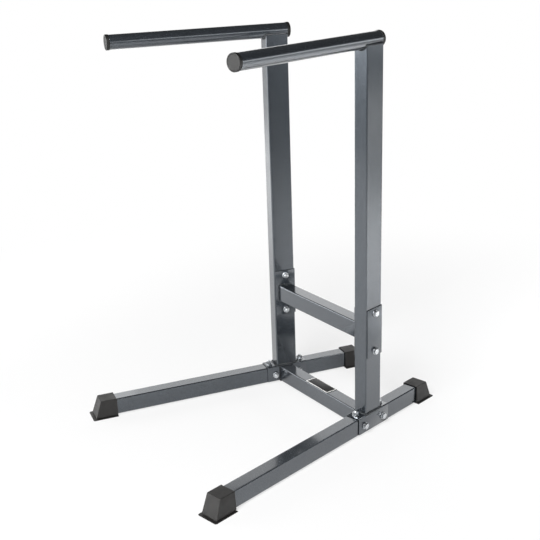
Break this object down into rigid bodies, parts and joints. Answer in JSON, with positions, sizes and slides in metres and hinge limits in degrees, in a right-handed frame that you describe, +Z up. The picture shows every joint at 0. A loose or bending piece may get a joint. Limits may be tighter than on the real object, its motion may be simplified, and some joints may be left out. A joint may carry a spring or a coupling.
{
  "type": "dip station",
  "caption": "Free-standing dip station: two splayed side frames with round handle bars on tall uprights, bolted legs in rubber feet, a mid brace and a base crossbar.",
  "frame": {"origin": "centre of the footprint's bounding box, on the floor under the feet", "axes": "+Z up, +X to the right as seen from the front, -Y towards the front, where the user steps in between the handles"},
  "size_m": [0.8942, 1.0912, 1.326],
  "materials": {
    "powder_coat": "satin anthracite powder coat",
    "black_plastic": "fine matt moulded plastic",
    "black_rubber": "moulded rubber",
    "zinc_plate": "bright zinc plate",
    "label_plate": "black plate with a plain light border line"
  },
  "bodies": {
    "root": {"left_handle_tube": "powder_coat", "left_upright": "powder_coat", "left_leg_sleeve": "powder_coat", "left_front_leg": "powder_coat", "left_rear_leg": "powder_coat", "left_brace_bracket": "powder_coat", "left_front_cap": "black_plastic", "left_rear_cap": "black_plastic", "left_front_foot": "black_rubber", "left_rear_foot": "black_rubber", "left_brace_bolt_lower": "zinc_plate", "left_brace_washer_lower": "zinc_plate", "left_brace_nut_lower": "zinc_plate", "left_brace_bolt_upper": "zinc_plate", "left_brace_washer_upper": "zinc_plate", "left_brace_nut_upper": "zinc_plate", "left_side_bolt_front": "zinc_plate", "left_side_washer_front": "zinc_plate", "left_side_nut_front": "zinc_plate", "left_side_bolt_rear": "zinc_plate", "left_side_washer_rear": "zinc_plate", "left_side_nut_rear": "zinc_plate", "left_top_bolt_front": "zinc_plate", "left_top_washer_front": "zinc_plate", "left_top_nut_front": "zinc_plate", "left_top_bolt_rear": "zinc_plate", "left_top_washer_rear": "zinc_plate", "left_top_nut_rear": "zinc_plate", "right_handle_tube": "powder_coat", "right_upright": "powder_coat", "right_leg_sleeve": "powder_coat", "right_front_leg": "powder_coat", "right_rear_leg": "powder_coat", "right_brace_bracket": "powder_coat", "right_front_cap": "black_plastic", "right_rear_cap": "black_plastic", "right_front_foot": "black_rubber", "right_rear_foot": "black_rubber", "right_brace_bolt_lower": "zinc_plate", "right_brace_washer_lower": "zinc_plate", "right_brace_nut_lower": "zinc_plate", "right_brace_bolt_upper": "zinc_plate", "right_brace_washer_upper": "zinc_plate", "right_brace_nut_upper": "zinc_plate", "right_side_bolt_front": "zinc_plate", "right_side_washer_front": "zinc_plate", "right_side_nut_front": "zinc_plate", "right_side_bolt_rear": "zinc_plate", "right_side_washer_rear": "zinc_plate", "right_side_nut_rear": "zinc_plate", "right_top_bolt_front": "zinc_plate", "right_top_washer_front": "zinc_plate", "right_top_nut_front": "zinc_plate", "right_top_bolt_rear": "zinc_plate", "right_top_washer_rear": "zinc_plate", "right_top_nut_rear": "zinc_plate", "mid_brace": "powder_coat", "base_crossbar": "powder_coat", "label_plate": "label_plate"}
  },
  "joints": []
}
